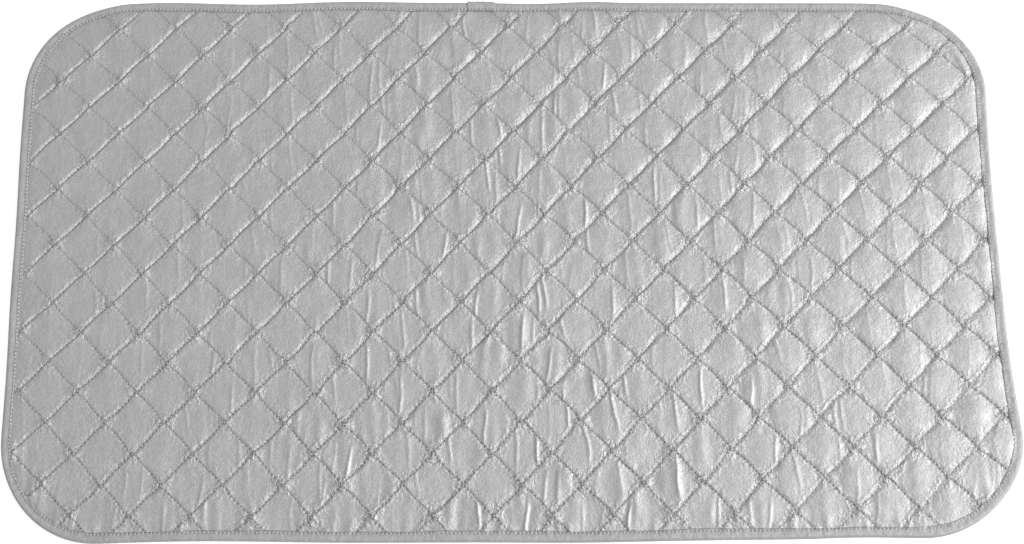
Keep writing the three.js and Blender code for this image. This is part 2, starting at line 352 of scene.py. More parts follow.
def lattice_place(rising, falling):
    """The point at two seam phases. Seams lie at whole phases."""
    x = np.zeros_like(rising)
    y = np.zeros_like(rising)
    rising_start = rising * SEAM_PITCH + RISING_OFFSET + crossing_bend(rising, falling, RISING_BENDS)
    falling_start = falling * SEAM_PITCH + FALLING_OFFSET + crossing_bend(falling, rising, FALLING_BENDS)
    for _ in range(LATTICE_ROUNDS):
        u, v = shares(x, y)
        across_rising = rising_start + rising_wander(u, v) * MM + waver(x, y, RISING_WAVER_START)
        across_falling = falling_start + falling_wander(u, v) * MM + waver(x, y, FALLING_WAVER_START)
        x = (across_falling - across_rising) / math.sqrt(2)
        y = (across_falling + across_rising) / math.sqrt(2)
    return x, y


def to_inset(x, y, wanted):
    """Points moved square to the edge until they lie at the wanted inset."""
    slope_x = (inset(x + PROBE, y) - inset(x - PROBE, y)) / (2 * PROBE)
    slope_y = (inset(x, y + PROBE) - inset(x, y - PROBE)) / (2 * PROBE)
    move = wanted - inset(x, y)
    return x + slope_x * move, y + slope_y * move


def quilt_grid(steps, crowding, rim):
    """A grid along the seams, closer beside them, that ends at the rim."""
    share = np.arange(-LATTICE_REACH * steps, LATTICE_REACH * steps + 1) / steps
    phase = share - crowding * np.sin(2 * math.pi * share) / (2 * math.pi)
    rising, falling = np.meshgrid(phase, phase, indexing="ij")
    x, y = lattice_place(rising, falling)
    kept = inset(x, y) > rim
    whole = kept[:-1, :-1] & kept[:-1, 1:] & kept[1:, 1:] & kept[1:, :-1]
    corners = [(slice(None, -1), slice(None, -1)), (slice(None, -1), slice(1, None)),
               (slice(1, None), slice(1, None)), (slice(1, None), slice(None, -1))]
    touching = np.zeros(kept.shape, int)
    for corner in corners:
        touching[corner] += whole
    used = touching > 0
    number = np.cumsum(used).reshape(used.shape) - 1
    quads = np.stack([number[corner][whole] for corner in corners], 1)
    on_rim = touching[used] < len(corners)
    x = x[used]
    y = y[used]
    x[on_rim], y[on_rim] = to_inset(x[on_rim], y[on_rim], rim)
    return {"rising": rising[used], "falling": falling[used], "x": x, "y": y, "quads": quads}


def seam_gap(phase):
    """Distance to the nearest seam of a set."""
    return np.abs((phase + 0.5) % 1 - 0.5) * SEAM_PITCH


def shoulder(gap, reach):
    """Rises from 0 at a seam to nearly 1 two reaches away."""
    return np.tanh(np.maximum(gap, 0) / reach)


def ramp(gap, reach):
    """Rises evenly from 0 at a seam to 1 a reach away, with a soft break there."""
    return 1 - np.logaddexp(0, LIP_BREAK * (1 - gap / reach)) / LIP_BREAK


def blend(value):
    """Runs smoothly from 0 to 1 as the value passes 0."""
    return 1 / (1 + np.exp(-value))


def per_cell(grid, low, high):
    """A random value for each cell, looked up at the grid's points."""
    table = draws.uniform(low, high, (LATTICE_SEAMS + 1, LATTICE_SEAMS + 1))
    row = np.floor(grid["rising"]).astype(int) + LATTICE_REACH
    column = np.floor(grid["falling"]).astype(int) + LATTICE_REACH
    return table[row, column]


# Relief of the cloths
def front_share(grid):
    """Runs from 0 at the back left to 1 at the front right."""
    u, v = shares(grid["x"], grid["y"])
    return blend(u - 2.5 * v - 0.5)


def falling_pull(grid):
    """How far the falling seams pull the face down: little at the back, fully at the front."""
    return LEAST_PULL + (1 - LEAST_PULL) * front_share(grid)


def fullness(grid):
    """How full the cells are: least at the front left, most at the back right."""
    u, v = shares(grid["x"], grid["y"])
    return blend(3 * u + v)


def puff(grid, height, pull):
    """Height of the padded cells above their seams."""
    full = fullness(grid)
    front = front_share(grid)
    above_seam = (grid["rising"] % 1) * SEAM_PITCH
    lip = LIP + LIP_MORE * (full * (1 - front) + 0.8 * front * (1 - full))
    dome = np.sin(math.pi * (grid["rising"] % 1)) * np.sin(math.pi * (grid["falling"] % 1))
    size = height * (0.6 + 0.4 * full - 0.25 * front * (1 - full))
    level = 0.92 - 0.17 * front - 0.45 * front * full
    crown = per_cell(grid, 0.5, 1.1) * (0.15 + 0.85 * full) * (0.45 + 0.9 * front) * dome
    from_rising = ramp(above_seam, lip) * shoulder(SEAM_PITCH - above_seam, SHOULDER * (1 + 1.4 * full))
    from_falling = shoulder(seam_gap(grid["falling"]), SHOULDER * (1 + 0.6 * full))
    edge_gap = np.maximum(inset(grid["x"], grid["y"]) - STITCH_INSET, 0)
    from_edge = shoulder(edge_gap, EDGE_SHOULDER) * (1 - EDGE_PRESS * np.exp(-edge_gap / EDGE_PRESS_REACH))
    return size * (level + crown) * from_rising * (1 - pull + pull * from_falling) * from_edge


def crease_strength(grid):
    """Where the cloth is creased most: in the middle and towards the front."""
    u, v = shares(grid["x"], grid["y"])
    return 0.08 + 0.85 * np.exp(-((u - 0.05) / (0.60 - 0.15 * v)) ** 2) * (0.8 - 0.2 * v)


def creases(grid):
    """Upright folds in the cells, where the quilting has drawn the cloth together lengthwise."""
    within_rising = grid["rising"] % 1
    within_falling = grid["falling"] % 1
    sideways = within_falling - within_rising
    upward = within_falling + within_rising - 1
    pinch = (shoulder(seam_gap(grid["rising"]), CREASE_PINCH)
             * shoulder(seam_gap(grid["falling"]), CREASE_PINCH)
             * shoulder(inset(grid["x"], grid["y"]) - STITCH_INSET, CREASE_PINCH))
    height = np.zeros_like(pinch)
    for order in range(CREASES_IN_CELL):
        middle = CREASE_SPAN * ((order + per_cell(grid, *CREASE_PLACES)) / CREASES_IN_CELL - 0.5)
        lean = per_cell(grid, *CREASE_LEANS)
        bow = per_cell(grid, *CREASE_LEANS)
        width = per_cell(grid, *CREASE_WIDTHS) * (1 + 0.5 * fullness(grid))
        lift = np.maximum(per_cell(grid, *CREASE_LIFTS), CREASE_DEEPEST)
        run = (upward - per_cell(grid, *CREASE_MIDDLES)) / per_cell(grid, *CREASE_RUNS)
        off = (sideways - middle - lean * upward - bow * upward ** 2) * SEAM_PITCH / math.sqrt(2)
        height += lift * np.exp(-0.5 * (off / width) ** 2 - run ** 4)
    return CREASE_HEIGHT * crease_strength(grid) * per_cell(grid, *CREASE_SIZES) * pinch * height


def edge_gathers(grid):
    """Short folds square to the edge, where the binding has drawn the cloth together."""
    edge_gap = inset(grid["x"], grid["y"]) - STITCH_INSET
    height = np.zeros_like(edge_gap)
    for along, across, outward, reach, share in GATHERED_SIDES:
        places = np.arange(-HALF_LENGTH, HALF_LENGTH, GATHER_SPACING)
        places = places + draws.uniform(*GATHER_SHIFTS, len(places)) * GATHER_SPACING
        facing = outward * grid[across] > STRAIGHT[across]
        for place in places:
            lean = draws.uniform(*GATHER_LEANS)
            size = draws.uniform(*GATHER_SIZES) * share
            length = draws.uniform(*GATHER_LENGTHS) * reach
            width = draws.uniform(*GATHER_WIDTHS)
            off = (grid[along] - place - lean * edge_gap) / width
            fold = size * np.exp(-0.5 * off ** 2 - np.maximum(edge_gap, 0) / length)
            height += np.where(facing, fold, 0)
    return GATHER_HEIGHT * height * shoulder(edge_gap, GATHER_PINCH)


def edge_lift(grid):
    """The rise of the cloth towards the tape that grips it."""
    from_lip = np.maximum(inset(grid["x"], grid["y"]) - TAPE_WIDTH, 0)
    return EDGE_LIFT * np.exp(-from_lip / EDGE_LIFT_REACH)


def corner_fold(grid):
    """A flat fold of slack cloth that lies along the binding of the back right corner."""
    x = grid["x"] - STRAIGHT["x"]
    y = grid["y"] - STRAIGHT["y"]
    turned = np.degrees(np.arctan2(y, x))
    depth = inset(grid["x"], grid["y"])
    stretch = np.exp(-((turned - FOLD_ANGLE) / FOLD_SPREAD) ** 4) * (x > 0) * (y > 0)
    climb = np.clip((depth - TAPE_WIDTH) / FOLD_CLIMB, 0, 1)
    return FOLD_HEIGHT * stretch * climb * blend((FOLD_END - depth) / FOLD_BREAK)


def settle(points, quads, pinned, slack, pressure):
    """Lets a padded cloth that is longer than its seams find its shape, and returns its points."""
    start = points * SIM_SCALE
    mesh = bpy.data.meshes.new("settling")
    mesh.from_pydata(start.tolist(), [], quads.tolist())
    cloth = bpy.data.objects.new("settling", mesh)
    bpy.context.scene.collection.objects.link(cloth)
    cloth.shape_key_add(name="start")
    rest = cloth.shape_key_add(name="rest")
    rest.data.foreach_set("co", (start * (*slack, 1)).astype(np.float32).ravel())
    rest.value = 0
    group = cloth.vertex_groups.new(name="sewn")
    group.add([int(index) for index in np.nonzero(pinned)[0]], 1.0, "REPLACE")
    modifier = cloth.modifiers.new("cloth", "CLOTH")
    settings = modifier.settings
    for name, value in SIM_SETTINGS.items():
        setattr(settings, name, value)
    settings.vertex_group_mass = group.name
    settings.rest_shape_key = rest
    settings.use_pressure = True
    settings.uniform_pressure_force = pressure
    settings.effector_weights.gravity = 0
    modifier.collision_settings.use_collision = False
    modifier.collision_settings.use_self_collision = False
    modifier.point_cache.frame_start = 1
    modifier.point_cache.frame_end = SIM_FRAMES
    for number in range(1, SIM_FRAMES + 1):
        bpy.context.scene.frame_set(number)
    shaped = cloth.evaluated_get(bpy.context.evaluated_depsgraph_get()).to_mesh()
    settled = np.zeros(3 * len(points), np.float32)
    shaped.vertices.foreach_get("co", settled)
    bpy.data.objects.remove(cloth)
    bpy.context.scene.frame_set(1)
    move = settled.reshape(-1, 3) / SIM_SCALE - points
    far = np.maximum(np.linalg.norm(move, axis=1, keepdims=True) / MOST_MOVED, 1)
    return points + move / far


# Making pieces
def bumps(place, waves):
    """Soft bumps along an edge, each with its place, half-width and height in millimetres."""
    return sum(high * np.exp(-((place / MM - middle) / wide) ** 2) for middle, wide, high in waves)


def as_it_lies(points):
    """Points moved as the mat lies: its sides lean, bow and waver a little."""
    x, y, z = points.T
    left = SIDE_SHIFT + LEFT_LEAN * y / HALF_WIDTH + ripples(y, LEFT_RIPPLES)
    right = SIDE_SHIFT + bumps(y, RIGHT_WAVES)
    back = BACK_SHIFT + bumps(x, BACK_WAVES)
    front = FRONT_SHIFT + bumps(x, FRONT_WAVES)
    moved_x = left * np.exp(-(x + HALF_LENGTH) / SIDE_REACH) + right * np.exp((x - HALF_LENGTH) / SIDE_REACH)
    moved_y = front * np.exp(-(y + HALF_WIDTH) / SIDE_REACH) + back * np.exp((y - HALF_WIDTH) / SIDE_REACH)
    return np.stack([x + moved_x * MM, y + moved_y * MM, z], 1)


def make_piece(name, points, faces, material, node):
    """A smooth mesh in the frame that stands for a CAD node."""
    mesh = bpy.data.meshes.new(name)
    mesh.from_pydata(as_it_lies(np.asarray(points)).tolist(), [], np.asarray(faces).tolist())
    mesh.polygons.foreach_set("use_smooth", [True] * len(mesh.polygons))
    mesh.materials.append(material)
    mesh.update()
    piece = bpy.data.objects.new(name, mesh)
    bpy.context.scene.collection.objects.link(piece)
    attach(piece, "root")
    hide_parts(node)
    return piece


def add_bake_map(piece):
    """A flat map from above, for a sheet."""
    mesh = piece.data
    corner = np.zeros(len(mesh.loops), np.int32)
    mesh.loops.foreach_get("vertex_index", corner)
    points = np.zeros(3 * len(mesh.vertices), np.float32)
    mesh.vertices.foreach_get("co", points)
    flat = points.reshape(-1, 3)[corner, :2]
    low = flat.min(0)
    high = flat.max(0)
    mesh.uv_layers.new(name=BAKE_MAP).data.foreach_set("uv", ((flat - low) / (high - low)).ravel())


def add_values(piece, name, values):
    """A value at each point of a piece, for its finish."""
    attribute = piece.data.attributes.new(name, "FLOAT", "POINT")
    attribute.data.foreach_set("value", values.astype(np.float32).ravel())


def add_lattice(piece, grid):
    """The places between the seams and the cloth's creasing, pull and fullness, for its finish."""
    attribute = piece.data.attributes.new("lattice", "FLOAT_VECTOR", "POINT")
    place = np.stack([grid["rising"] * SEAM_PITCH, grid["falling"] * SEAM_PITCH, crease_strength(grid)], 1)
    attribute.data.foreach_set("vector", place.astype(np.float32).ravel())
    add_values(piece, "pull", falling_pull(grid))
    add_values(piece, "fullness", fullness(grid))


# Cloths and wadding
def cloth_heights(cloth, middles, up):
    """Heights of a cloth at the given places, seen from above or from underneath."""
    found = [cloth.ray_cast((x, y, up), (0, 0, -up))[0].z for x, y in middles]
    return np.array(found)[:, None]


def sewn_points(grid):
    """True where a cloth is held: along its seams and under the binding."""
    held = inset(grid["x"], grid["y"]) < STITCH_INSET
    for phase in (grid["rising"], grid["falling"]):
        held |= seam_gap(phase) < HELD_GAP
    return held


def make_face(material):
    """The face cloth, padded, creased and gathered, and its shape for what lies on it."""
    grid = quilt_grid(FACE_STEPS, SEAM_CROWDING, CLOTH_RIM)
    height = puff(grid, FACE_PUFF, falling_pull(grid))
    for relief in (creases, edge_gathers, edge_lift, corner_fold):
        height = height + relief(grid)
    start = np.stack([grid["x"], grid["y"], FACE_Z + height], 1)
    points = settle(start, grid["quads"], sewn_points(grid), FACE_SLACK, FACE_PRESSURE)
    face = make_piece("face_cloth_quilted", points, grid["quads"], material, "face_cloth")
    add_bake_map(face)
    add_lattice(face, grid)
    return face, BVHTree.FromPolygons(points.tolist(), grid["quads"].tolist())


def make_backing(material):
    """The backing cloth, a little padded downwards, and its shape for the threads on it."""
    grid = quilt_grid(BACKING_STEPS, 0, CLOTH_RIM)
    height = puff(grid, BACKING_PUFF, 1)
    start = np.stack([grid["x"], grid["y"], BACKING_Z - height], 1)
    points = settle(start, grid["quads"], sewn_points(grid), BACKING_SLACK, BACKING_PRESSURE)
    points[:, 2] = np.maximum(points[:, 2], BACKING_LEAST_Z)
    faces = grid["quads"][:, ::-1]
    backing = make_piece("backing_cloth_quilted", points, faces, material, "backing_cloth")
    add_bake_map(backing)
    add_lattice(backing, grid)
    return backing, BVHTree.FromPolygons(points.tolist(), grid["quads"].tolist())


def make_wadding(material):
    """The wadding, a closed pad that is quilted on its upper side."""
    grid = quilt_grid(WADDING_STEPS, 0, WADDING_RIM)
    padding = WADDING_SHARE * puff(grid, FACE_PUFF, falling_pull(grid))
    top = FACE_Z - CLOTH_THICKNESS - WADDING_CLEARANCE + padding
    low = np.full_like(top, WADDING_LOW_Z + WADDING_CLEARANCE)
    points = np.concatenate([np.stack([grid["x"], grid["y"], z], 1) for z in (top, low)])
    quads = grid["quads"]
    edges = np.concatenate([quads[:, [corner, (corner + 1) % 4]] for corner in range(4)])
    keys, uses = np.unique(np.sort(edges, 1), axis=0, return_counts=True)
    lone = {tuple(key) for key in keys[uses == 1]}
    outer = np.array([edge for edge in edges if tuple(sorted(edge)) in lone])
    walls = np.concatenate([outer[:, ::-1], outer + len(top)], 1)
    faces = np.concatenate([quads, quads[:, ::-1] + len(top), walls])
    return make_piece("wadding_sheet", points, faces, material, "wadding")


# Binding
def edge_path():
    """The mat's outline from the tape's first end: distance along, points and outward angle."""
    points = [(LAP_FIRST_X, HALF_WIDTH)]
    angles = [math.pi / 2]
    for quarter, (side_x, side_y) in enumerate([(-1, 1), (-1, -1), (1, -1), (1, 1)]):
        for step in range(ARC_STEPS + 1):
            angle = math.pi / 2 * (1 + quarter + step / ARC_STEPS)
            points.append((side_x * STRAIGHT["x"] + CORNER_RADIUS * math.cos(angle),
                           side_y * STRAIGHT["y"] + CORNER_RADIUS * math.sin(angle)))
            angles.append(angle)
    points.append(points[0])
    angles.append(math.pi / 2 + 2 * math.pi)
    points = np.array(points)
    along = np.concatenate([[0], np.cumsum(np.linalg.norm(np.diff(points, axis=0), axis=1))])
    return along, points, np.array(angles)


PATH_ALONG, PATH_POINTS, PATH_ANGLES = edge_path()
PERIMETER = PATH_ALONG[-1]
TAPE_LENGTH = PERIMETER + LAP_LENGTH
TAPE_STITCHES = int(round(PERIMETER / ABOUT_TAPE_STITCH))
TAPE_STITCH = PERIMETER / TAPE_STITCHES


def edge_place(along):
    """Points on the outline and the directions out of the mat there."""
    wrapped = along % PERIMETER
    point = np.stack([np.interp(wrapped, PATH_ALONG, PATH_POINTS[:, axis]) for axis in range(2)], -1)
    angle = np.interp(wrapped, PATH_ALONG, PATH_ANGLES)
    return point, np.stack([np.cos(angle), np.sin(angle)], -1)


def corner_share(along):
    """1 in the rounded corners and 0 on the straight edges."""
    point, _ = edge_place(along)
    past_x = np.abs(point[..., 0]) - STRAIGHT["x"]
    past_y = np.abs(point[..., 1]) - STRAIGHT["y"]
    return np.clip(np.minimum(past_x, past_y) / CORNER_RUN_IN, 0, 1)


def tape_line():
    """The middle of the folded tape in section: insets and heights, from the lower lip to the upper."""
    half = TAPE_THICKNESS / 2
    roll = (BINDING_HIGH_Z - TAPE_THICKNESS) / 2
    axis_z = BINDING_HIGH_Z / 2
    inner = roll + half
    line = [(TAPE_WIDTH, half), (STITCH_INSET, half), (LEG_INSET, half)]
    for step in range(ROLL_STEPS + 1):
        angle = -math.pi / 2 + math.pi * step / ROLL_STEPS
        line.append((inner - roll * math.cos(angle), axis_z + roll * math.sin(angle)))
    top = BINDING_HIGH_Z - half
    for share in (0.25, 0.5, 0.75):
        line.append((inner + share * (STITCH_INSET - inner), top))
    line += [(STITCH_INSET, top), ((STITCH_INSET + TAPE_WIDTH) / 2, top), (TAPE_WIDTH, top)]
    return np.array(line)


def tape_halves(count):
    """Half the tape's thickness along its section, thinned at the upper lip."""
    halves = np.full(count, TAPE_THICKNESS / 2)
    halves[-1] *= LIP_THINNING
    return halves


def stitch_row(insets):
    """1 along the tape's row of stitches, falling to 0 beside it."""
    return np.exp(-(((insets - STITCH_INSET) / PIT_REACH) ** 2))


def stitch_pits(along, insets):
    """1 where a stitch enters the tape, falling to 0 around it."""
    return (0.5 + 0.5 * np.cos(2 * math.pi * along / TAPE_STITCH)) ** 2 * stitch_row(insets)


def tape_heights(along, insets, upper):
    """How the tape's legs leave flat: sunk at the stitches, gathered in the corners, uneven at the lip."""
    sunk = ROW_DEPTH * stitch_row(insets) + PIT_DEPTH * stitch_pits(along, insets)
    crown = TAPE_CROWN * np.sin(np.pi * np.clip(insets / STITCH_INSET, 0, 1)) ** 2
    lean = np.clip((insets - LEAN_INSET) / (TAPE_WIDTH - LEAN_INSET), 0, 1)
    gathers = [(LIP_GATHER, LIP_GATHER_LENGTH, ripples(along, LIP_GATHER_DRIFTS))]
    uneven = ripples(along, gathers) * corner_share(along) + ripples(along, LIP_RISES)
    return np.where(upper, crown - sunk + lean * (uneven - LIP_DROP), sunk)


def tape_middle(along, lapped, face_shape):
    """Insets and heights of the tape's middle at each station, with its upper leg laid on the face."""
    line = tape_line()
    halves = tape_halves(len(line))
    upper = line[:, 1] > BINDING_HIGH_Z / 2
    lip_share = np.clip((line[:, 0] - LEG_INSET) / (TAPE_WIDTH - LEG_INSET), 0, 1)
    sway = ripples(along, LIP_SWAYS) * lip_share * upper
    insets = line[:, 0] + sway - LAP_BULGE * lapped * (1 - lip_share)
    heights = line[:, 1] + tape_heights(along, insets, upper)
    edge, out = edge_place(along[:, 0])
    for column in np.nonzero(upper & (line[:, 0] >= STITCH_INSET))[0]:
        below = cloth_heights(face_shape, edge - insets[:, column, None] * out, 1)[:, 0]
        lowest = below + TAPE_CLEARANCE + halves[column]
        heights[:, column] = np.maximum(heights[:, column], lowest)
    return insets, heights


def tape_faces(stations, count):
    """Faces of a strip with a closed section at each station, and its two ends."""
    first = np.arange(stations - 1)[:, None] * count
    here = np.arange(count)[None, :]
    after = (here + 1) % count
    quads = np.stack([first + here, first + after, first + count + after, first + count + here], -1)
    pairs = np.arange(count // 2 - 1)
    end = np.stack([pairs + 1, pairs, count - 1 - pairs, count - 2 - pairs], 1)
    last = (stations - 1) * count
    return np.concatenate([quads.reshape(-1, 4), end, end[:, ::-1] + last])


def make_binding(material, face_shape):
    """The folded tape round the edge, whose last end laps over its first."""
    stations = int(round(TAPE_LENGTH / TAPE_STEP)) + 1
    along = np.linspace(0, TAPE_LENGTH, stations)[:, None]
    lapped = np.clip((along - (PERIMETER - LAP_RAMP)) / LAP_RAMP, 0, 1)
    lapped = lapped * lapped * (3 - 2 * lapped)
    line = tape_line()
    tangent = np.gradient(line, axis=0)
    tangent /= np.linalg.norm(tangent, axis=1, keepdims=True)
    insets, heights = tape_middle(along, lapped, face_shape)
    rings = []
    for side in (1, -1):
        shift = side * tape_halves(len(line)) + lapped * LAP_STEP
        rings.append(np.stack([insets - shift * tangent[:, 1], heights + shift * tangent[:, 0]], -1))
    section = np.concatenate([rings[0], rings[1][:, ::-1]], 1)
    edge, out = edge_place(along[:, 0])
    flat = edge[:, None, :] - section[..., :1] * out[:, None, :]
    points = np.concatenate([flat, np.maximum(section[..., 1:], 0)], 2).reshape(-1, 3)
    faces = tape_faces(stations, section.shape[1])
    tape = make_piece("edge_binding_tape", points, faces, material, "edge_binding")
    # Painted shade in the stitch holes, along the outer fold and at the upper lip, where it fades out
    # towards the right
    shade = stitch_pits(along, insets) + ROLL_SHADE * (line[:, 0] < ROLL_SHADE_REACH)
    shade[:, -1] = blend((HALF_LENGTH - CORNER_RADIUS / 2 - edge[:, 0]) / LIP_SHADE_FADE)
    add_values(tape, "shade", np.concatenate([shade, shade[:, ::-1]], 1))
    return tape


# Stitches
def stitch_template():
    """A short strand along X, of length 2 and radius 1, that dips at its ends, with its faces."""
    share = np.linspace(-1, 1, STITCH_RINGS)
    radius = np.sqrt(1 - STITCH_TAPER * share ** 4)
    turn = 2 * math.pi * np.arange(STITCH_SIDES) / STITCH_SIDES
    x = np.repeat(share, STITCH_SIDES)
    y = np.outer(radius, np.cos(turn)).ravel()
    z = np.outer(radius, np.sin(turn)).ravel() - STITCH_DIP * np.repeat(share ** 4, STITCH_SIDES)
    faces = []
    for ring in range(STITCH_RINGS - 1):
        for side in range(STITCH_SIDES):
            here = ring * STITCH_SIDES + side
            after = ring * STITCH_SIDES + (side + 1) % STITCH_SIDES
            faces += [(here, here + STITCH_SIDES, after + STITCH_SIDES), (here, after + STITCH_SIDES, after)]
    last = (STITCH_RINGS - 1) * STITCH_SIDES
    for side in range(1, STITCH_SIDES - 1):
        faces += [(0, side, side + 1), (last, last + side + 1, last + side)]
    return np.stack([x, y, z], 1), np.array(faces)


def make_stitches(name, middles, directions, length, thread, up, material, node):
    """A row of stitches, one strand at each middle. Up is 1 on the face and -1 underneath."""
    shape, shape_faces = stitch_template()
    if up < 0:
        shape_faces = shape_faces[:, ::-1]
    count = len(middles)
    stretch = draws.uniform(1 - STITCH_LENGTH_SPREAD, 1 + STITCH_LENGTH_SPREAD, count)
    turn = draws.uniform(-STITCH_TURN_SPREAD, STITCH_TURN_SPREAD, count)
    lengths = 0.5 * length * stretch
    angles = np.arctan2(directions[:, 1], directions[:, 0]) + turn
    ahead = np.stack([np.cos(angles), np.sin(angles), np.zeros_like(angles)], 1)
    aside = np.stack([-ahead[:, 1], ahead[:, 0], ahead[:, 2]], 1)
    points = (middles[:, None, :]
              + (lengths[:, None] * shape[:, 0])[..., None] * ahead[:, None, :]
              + (thread / 2 * shape[:, 1])[None, :, None] * aside[:, None, :])
    points[..., 2] += up * thread / 2 * shape[:, 2]
    first = np.arange(count)[:, None, None] * len(shape)
    faces = (first + shape_faces[None]).reshape(-1, 3)
    return make_piece(name, points.reshape(-1, 3), faces, material, node)


def seam_stitches(rising):
    """Middles and directions of the stitches of one set of seams."""
    seams = np.arange(-LATTICE_REACH, LATTICE_REACH + 1)
    steps = int(LATTICE_REACH * SEAM_PITCH / SEAM_STITCH)
    run = np.arange(-steps, steps) * SEAM_STITCH / SEAM_PITCH
    seam, place = (array.ravel() for array in np.meshgrid(seams.astype(float), run, indexing="ij"))

    def at(shift):
        phases = (seam, place + shift) if rising else (place + shift, seam)
        return np.stack(lattice_place(*phases), 1)

    middle = at(0)
    direction = at(PHASE_PROBE) - middle
    kept = inset(middle[:, 0], middle[:, 1]) > STITCH_INSET - SEAM_UNDER_TAPE
    return middle[kept], direction[kept]


def make_seam_stitches(material, face_shape, backing_shape):
    """The quilting's stitches: needle thread on the face and bobbin thread on the backing, for each set."""
    for rising, word in ((True, "rising"), (False, "falling")):
        middles, directions = seam_stitches(rising)
        for up, side, cloth in ((1, "needle", face_shape), (-1, "bobbin", backing_shape)):
            height = cloth_heights(cloth, middles, up) + up * SEAM_THREAD_RISE * SEAM_THREAD
            make_stitches(f"{side}_stitches_{word}", np.hstack([middles, height]), directions,
                          STITCH_FILL * SEAM_STITCH, SEAM_THREAD, up, material,
                          f"{side}_thread_{word}")


def make_binding_stitches(material):
    """The binding's stitches on both sides, with a loose thread end at the lap."""
    along = (np.arange(TAPE_STITCHES) + 0.5) * TAPE_STITCH
    insets = np.full_like(along, STITCH_INSET)
    edge, out = edge_place(along)
    middles = edge - STITCH_INSET * out
    directions = np.stack([-out[:, 1], out[:, 0]], 1)
    for up, side in ((1, "needle"), (-1, "bobbin")):
        upper = np.full_like(along, up > 0, dtype=bool)
        level = BINDING_HIGH_Z if up > 0 else 0
        heights = level + tape_heights(along, insets, upper) + up * TAPE_THREAD_RISE * TAPE_THREAD
        heights = heights + np.where(upper & (along < LAP_LENGTH), LAP_STEP, 0)
        places = np.hstack([middles, np.maximum(heights, TAPE_THREAD / 2)[:, None]])
        lengths = np.full_like(along, STITCH_FILL * TAPE_STITCH)
        turns = directions
        if up > 0:
            places = np.vstack([places, (LOOSE_END_X, HALF_WIDTH + LOOSE_END_OUT, BINDING_HIGH_Z / 2)])
            lengths = np.append(lengths, LOOSE_END)
            turns = np.vstack([directions, (0, 1)])
        make_stitches(f"binding_{side}_stitches", places, turns, lengths, TAPE_THREAD, up, material,
                      f"binding_{side}_thread")


